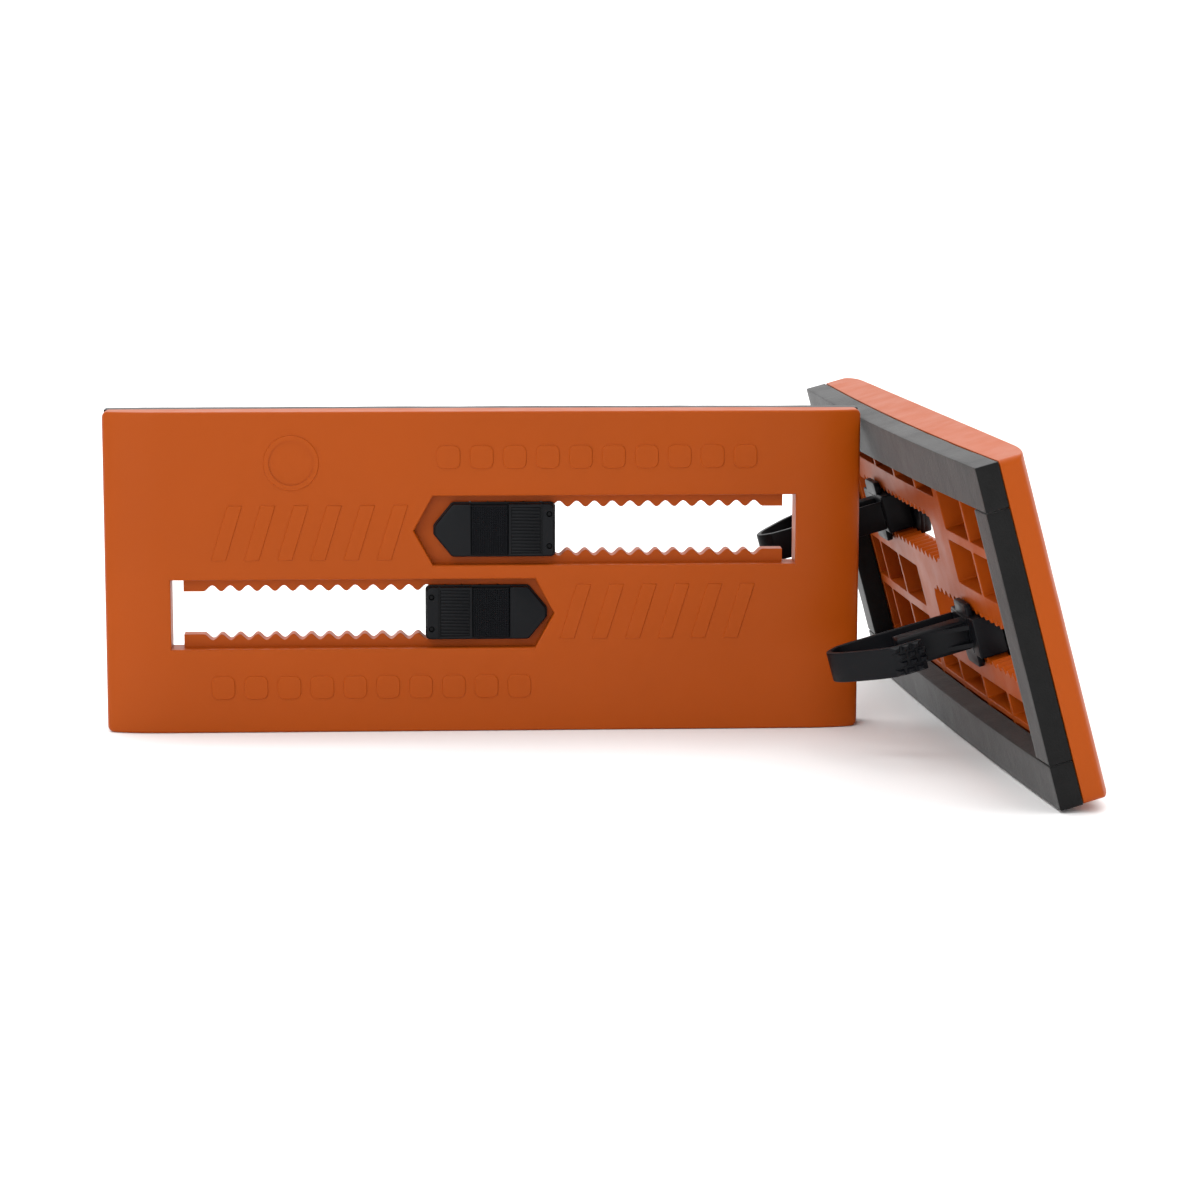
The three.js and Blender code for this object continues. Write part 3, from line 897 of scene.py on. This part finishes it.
def pad_mesh(clamp):
    """The lock pad: a plate whose face is a grid of small pyramids."""
    margin = 0.3 * MM
    x = (-clamp.pad_start + margin, clamp.pad_end - margin)
    half = clamp.head_half - 1.2 * MM
    top = clamp.head_top + 0.4 * MM
    bottom = clamp.head_top + clamp.pad_thick
    columns, rows = 16, 24
    bm = bmesh.new()
    bmesh.ops.create_grid(bm, x_segments=columns, y_segments=rows, size=0.5)
    bmesh.ops.scale(bm, verts=bm.verts, vec=(x[1] - x[0] - 0.6 * MM, 2 * half - 0.6 * MM, 1))
    knurl = bmesh.ops.poke(bm, faces=bm.faces[:], offset=0)
    for vert in knurl["verts"]:
        vert.co.z += 0.42 * MM
    rim = [e for e in bm.edges if e.is_boundary]
    made = bmesh.ops.extrude_edge_only(bm, edges=rim)
    skirt = [v for v in made["geom"] if isinstance(v, bmesh.types.BMVert)]
    for vert in skirt:
        vert.co.x *= 1 + 0.3 * MM / abs((x[1] - x[0]) / 2)
        vert.co.y *= 1 + 0.3 * MM / half
        vert.co.z = -0.25 * MM
    edges = [e for e in bm.edges if e.is_boundary]
    made = bmesh.ops.extrude_edge_only(bm, edges=edges)
    foot = [v for v in made["geom"] if isinstance(v, bmesh.types.BMVert)]
    for vert in foot:
        vert.co.z = top - bottom
    bmesh.ops.contextual_create(bm, geom=[e for e in bm.edges if e.is_boundary])
    bmesh.ops.rotate(bm, verts=bm.verts, matrix=Matrix.Rotation(math.pi / 2, 3, "X"))
    bmesh.ops.translate(bm, verts=bm.verts, vec=((x[0] + x[1]) / 2, top, 0))
    bmesh.ops.recalc_face_normals(bm, faces=bm.faces)
    return bm


def carrier_mesh(low, high, sizes):
    """The carrier: a stem through the slot, rounded wings behind it, and a backing block."""
    stem_half = 9.4 * MM
    back = sizes.back_depth + 0.3 * MM
    wing_bottom = back + 3 * MM
    wings_from, wings_to = -1 * MM, 21 * MM
    block_from, block_to, block_half = 4 * MM, 14 * MM, 7 * MM
    foot_from, foot_to, foot_half = -10.6 * MM, 18 * MM, 8.2 * MM
    stem = block((low.x, high.x), (low.y, wing_bottom), (-stem_half, stem_half))
    soften(stem, 0.8 * MM, 3)
    wings = extruded(
        rounded_rect((wings_from, wings_to), (low.z, high.z), 2.5 * MM), "Y", back, wing_bottom
    )
    soften(wings, 0.6 * MM, 3, 50)
    backing = block((block_from, block_to), (back, high.y), (-block_half, block_half))
    soften(backing, 1.0 * MM, 3)
    foot = block(
        (foot_from, foot_to), (back + 1 * MM, wing_bottom + 0.2 * MM), (-foot_half, foot_half)
    )
    soften(foot, 0.1 * MM, 1)
    sunk = 0.5 * MM
    gusset_foot, gusset_height = 6 * MM, 12 * MM
    profile = [
        (block_to - sunk, wing_bottom - sunk), (block_to + gusset_foot, wing_bottom - sunk),
        (block_to - sunk, wing_bottom + gusset_height),
    ]
    gussets = []
    for side in (-1, 1):
        z = sorted((side * 3.2 * MM, side * 5.2 * MM))
        gussets.append(extruded(profile, "Z", *z))
    return combine(union([stem, wings, backing, foot]), gather(gussets), "UNION")


def smooth_path(points, steps):
    """A curve through all the points but the two ends, which steer it."""
    path = []
    for i in range(1, len(points) - 2):
        a, b, c, d = (Vector(p) for p in points[i - 1:i + 3])
        for k in range(steps):
            t = k / steps
            bend = (2 * a - 5 * b + 4 * c - d) * t ** 2 + (3 * b - a - 3 * c + d) * t ** 3
            path.append(0.5 * (2 * b + (c - a) * t + bend))
    path.append(Vector(points[-2]))
    return path


def strip_outline(path, half_thickness):
    """Both sides of a strip about its centre line."""
    left, right = [], []
    for i, point in enumerate(path):
        before, after = path[max(i - 1, 0)], path[min(i + 1, len(path) - 1)]
        along = (after - before).normalized()
        side = Vector((-along.y, along.x)) * half_thickness
        left.append(tuple(point + side))
        right.append(tuple(point - side))
    return left + right[::-1]


def grip_tooth(face, y, z, shift):
    """One tooth of the strap's zigzag grip: it stands on the strap's face and tapers."""
    root, rise, half_width, taper = 0.5 * MM, 1.5 * MM, 1.65 * MM, 0.45
    profile = [
        (face - root, y - 2.2 * MM), (face + rise, y - 1.4 * MM),
        (face + rise, y + 0.2 * MM), (face - root, y + 2.2 * MM),
    ]
    tooth = extruded(profile, "Z", z - half_width, z + half_width)
    for vert in tooth.verts:
        vert.co.z = z + (vert.co.z - z) * (taper if vert.co.x > face else 1)
        vert.co.y += shift
    return tooth


def strap_mesh(low, high, clamp):
    """The spring strap: inner leg, round tip, and a flared outer leg with grip teeth."""
    inner = low.x + clamp.strap_thick / 2
    half = clamp.strap_thick / 2
    tip = high.y - half
    reach = 34.5 * MM
    free_end = 44 * MM
    points = [
        (inner, low.y - 10 * MM), (inner, low.y), (inner, 50 * MM), (inner, tip - 9.5 * MM),
        (inner + 1.5 * MM, tip - 4 * MM), (inner + 6.5 * MM, tip), (inner + 13.5 * MM, tip - 2.4 * MM),
        (inner + 22 * MM, tip - 9.8 * MM), (inner + 31 * MM, tip - 19.3 * MM),
        (inner + reach, tip - 26 * MM), (inner + reach, free_end), (inner + reach, free_end - 10 * MM),
    ]
    strip = extruded(strip_outline(smooth_path(points, 7), half), "Z", low.z, high.z)
    soften(strip, 0.55 * MM, 3, 40)
    for row in range(clamp.grip_rows):
        y = free_end + (2.6 + row * 4.6) * MM
        for side in (-1, 1):
            for outer in (False, True):
                z = side * (5.25 if outer else 1.75) * MM
                shift = 1.1 * MM if outer else -1.1 * MM
                strip = combine(strip, grip_tooth(inner + reach + half, y, z, shift), "UNION")
    return strip


def post_mesh(low, high):
    """A joining post with a softly domed head."""
    middle = (low + high) / 2
    bm = cylinder((high.x - low.x) / 2, (low.y, high.y), middle.x, middle.z, 20)
    soften(bm, 0.35 * MM, 3, 60)
    return bm


class COVERS_OT_clamps(bpy.types.Operator):
    """Model the slider heads, lock pads, carriers, straps and posts of all the clamps"""

    bl_idname = "covers.clamps"
    bl_label = "Clamps"

    def execute(self, context):
        sizes = context.scene.cover_sizes
        clamp = context.scene.clamp_sizes
        finishes = context.scene.cover_finishes
        nylon, pad_black, post_black = black_nylon(finishes), pad_plastic(finishes), post_plastic(finishes)
        for cover in COVERS:
            for slot in SLOTS:
                place = clamp_matrix(cover, slot, sizes, clamp)
                prefix = f"{cover}_{slot}"

                def limits(piece):
                    return extent(f"{prefix}_{piece}", place.inverted())

                slider = f"{prefix}_slider"
                pad = f"{prefix}_lock_pad"
                carrier = carrier_mesh(*limits("carrier"), sizes)
                strap = strap_mesh(*limits("strap"), clamp)
                rows = (
                    ("slider_head", "thumb_slider", head_mesh(clamp), nylon, slider, "clamp_nylon"),
                    ("lock_pad", "knurled_pad", pad_mesh(clamp), pad_black, pad, "pad_plastic"),
                    ("carrier", "stem_and_wings", carrier, nylon, slider, "clamp_nylon"),
                    ("strap", "spring_strap", strap, nylon, slider, "clamp_nylon"),
                    ("pin_1", "post_1", post_mesh(*limits("pin_1")), post_black, slider, "post_plastic"),
                    ("pin_2", "post_2", post_mesh(*limits("pin_2")), post_black, slider, "post_plastic"),
                )
                for node, piece, bm, material, body, slot_name in rows:
                    finished(
                        f"{prefix}_{piece}", bm, place, material, body, [f"{prefix}_{node}"]
                    )
        return {"FINISHED"}


# ---- stage -----------------------------------------------------------------------------


class COVERS_OT_stage(bpy.types.Operator):
    """Make the floor, the lights and the camera"""

    bl_idname = "covers.stage"
    bl_label = "Stage"

    def execute(self, context):
        scene = context.scene
        settings = scene.cover_stage
        bm = bmesh.new()
        bmesh.ops.create_grid(bm, x_segments=1, y_segments=1, size=30)
        floor = bpy.data.objects.new("floor", to_mesh(bm))
        floor.data.materials.append(floor_finish(scene.cover_finishes))
        scene.collection.objects.link(floor)
        floor.location.z = -0.1 * MM
        self.add_lamp(scene, "overhead", settings.overhead_strength, 1.6, (0.05, -0.35, -1))
        self.add_lamp(scene, "front", settings.front_strength, 0.9, (0.35, 0.85, -0.45))
        self.add_sky(scene, settings)
        scene.view_settings.view_transform = "Standard"
        self.add_camera(scene, settings)
        return {"FINISHED"}

    @staticmethod
    def add_lamp(scene, name, strength, spread, direction):
        """A broad, even light that shines in one direction."""
        light = bpy.data.lights.new(name, "SUN")
        light.energy = strength
        light.angle = spread
        lamp = bpy.data.objects.new(name, light)
        lamp.rotation_euler = Vector(direction).to_track_quat("-Z", "Y").to_euler()
        scene.collection.objects.link(lamp)

    @staticmethod
    def add_sky(scene, settings):
        """White surroundings that are dimmer on the side the covers face."""
        world = bpy.data.worlds.new("studio")
        world.use_nodes = True
        tree = world.node_tree
        direction = tree.nodes.new("ShaderNodeTexCoord")
        turned = tree.nodes.new("ShaderNodeMapping")
        turned.inputs["Rotation"].default_value = (0, 0, 0.5)
        split = tree.nodes.new("ShaderNodeSeparateXYZ")
        shade = tree.nodes.new("ShaderNodeMapRange")
        shade.interpolation_type = "SMOOTHSTEP"
        limits = {
            "From Min": -0.8, "From Max": 0.45, "To Min": settings.front_sky, "To Max": settings.back_sky,
        }
        for socket, number in limits.items():
            shade.inputs[socket].default_value = number
        tree.links.new(direction.outputs["Generated"], turned.inputs["Vector"])
        tree.links.new(turned.outputs["Vector"], split.inputs["Vector"])
        tree.links.new(split.outputs["Y"], shade.inputs["Value"])
        tree.links.new(shade.outputs["Result"], tree.nodes["Background"].inputs["Strength"])
        tree.nodes["Background"].inputs["Color"].default_value = (1, 1, 1, 1)
        scene.world = world

    @staticmethod
    def add_camera(scene, settings):
        """The camera, from its place and its pitch, roll and yaw."""
        camera = bpy.data.cameras.new("camera")
        camera.lens = settings.lens
        camera.sensor_width = 36
        holder = bpy.data.objects.new("camera", camera)
        pitch, roll, yaw = settings.camera_turn
        turn = Matrix.Rotation(yaw, 4, "Z") @ Matrix.Rotation(pitch, 4, "X") @ Matrix.Rotation(roll, 4, "Y")
        upright = Matrix.Rotation(math.pi / 2, 4, "X")
        holder.matrix_world = Matrix.Translation(settings.camera_place) @ turn @ upright
        scene.collection.objects.link(holder)
        scene.camera = holder


class COVERS_PT_panel(bpy.types.Panel):
    """Lists the makers and their sizes"""

    bl_idname = "COVERS_PT_panel"
    bl_label = "Floor Hole Covers"
    bl_space_type = "VIEW_3D"
    bl_region_type = "UI"
    bl_category = "Covers"

    def draw(self, context):
        layout = self.layout
        for group, names in GROUPS.items():
            for name in names:
                layout.prop(getattr(context.scene, group), name)
        for operator in OPERATORS:
            layout.operator(operator.bl_idname)


OPERATORS = (COVERS_OT_shells, COVERS_OT_gaskets, COVERS_OT_clamps, COVERS_OT_stage)
PROPERTY_GROUPS = {
    "cover_sizes": CoverSizes,
    "clamp_sizes": ClampSizes,
    "cover_finishes": Finishes,
    "cover_stage": StageSettings,
}
GROUPS = {group: tuple(kind.__annotations__) for group, kind in PROPERTY_GROUPS.items()}
CLASSES = (*PROPERTY_GROUPS.values(), *OPERATORS, COVERS_PT_panel)


def register():
    for kind in CLASSES:
        bpy.utils.register_class(kind)
    for name, kind in PROPERTY_GROUPS.items():
        setattr(bpy.types.Scene, name, PointerProperty(type=kind))


def unregister():
    for name in PROPERTY_GROUPS:
        delattr(bpy.types.Scene, name)
    for kind in reversed(CLASSES):
        bpy.utils.unregister_class(kind)


def main():
    """Builds every piece and the stage."""
    register()
    bpy.ops.covers.shells()
    bpy.ops.covers.gaskets()
    bpy.ops.covers.clamps()
    bpy.ops.covers.stage()


if __name__ == "__main__":
    main()
